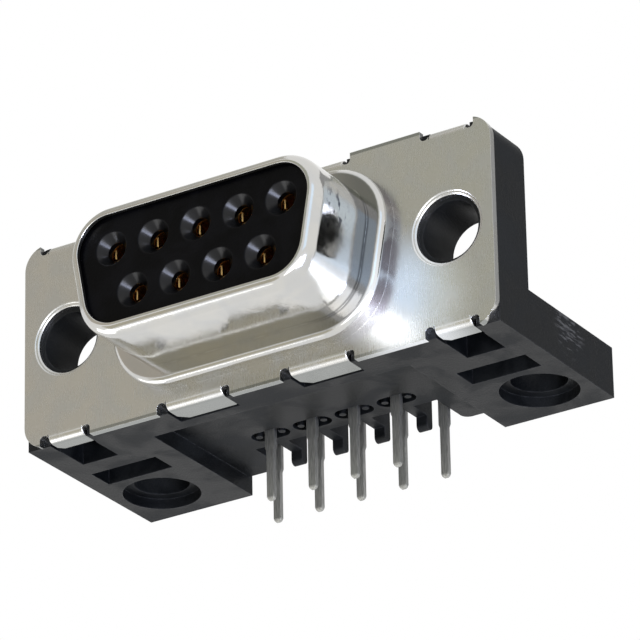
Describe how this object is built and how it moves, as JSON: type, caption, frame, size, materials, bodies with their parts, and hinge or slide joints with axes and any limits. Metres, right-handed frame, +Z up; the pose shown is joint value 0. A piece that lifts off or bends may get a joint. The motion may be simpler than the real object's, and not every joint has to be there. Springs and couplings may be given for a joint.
{
  "type": "d-sub connector",
  "caption": "Right-angle D-shaped socket connector with a stepped metal shell, folded tabs, a black bracket with two screw feet, and bent solder tails.",
  "frame": {"origin": "middle of the flange's front face, halfway between the two panel screw holes", "axes": "+X along the flange towards socket 1, -Y towards the mating plug, +Z up, away from the circuit board"},
  "size_m": [0.0308, 0.0189, 0.0154],
  "materials": {
    "tinned_shell": "tin-plated steel, softly reflecting, with rubbed edges",
    "insulator_plastic": "smooth black moulded plastic",
    "bracket_plastic": "fine-grained dark grey-black moulded plastic",
    "contact_metal": "dull grey tin on the tails, gold inside the sockets"
  },
  "bodies": {
    "root": {"front_shell": "tinned_shell", "socket_insulator": "insulator_plastic", "bracket": "bracket_plastic", "contact_1": "contact_metal", "contact_2": "contact_metal", "contact_3": "contact_metal", "contact_4": "contact_metal", "contact_5": "contact_metal", "contact_6": "contact_metal", "contact_7": "contact_metal", "contact_8": "contact_metal", "contact_9": "contact_metal"}
  },
  "joints": []
}
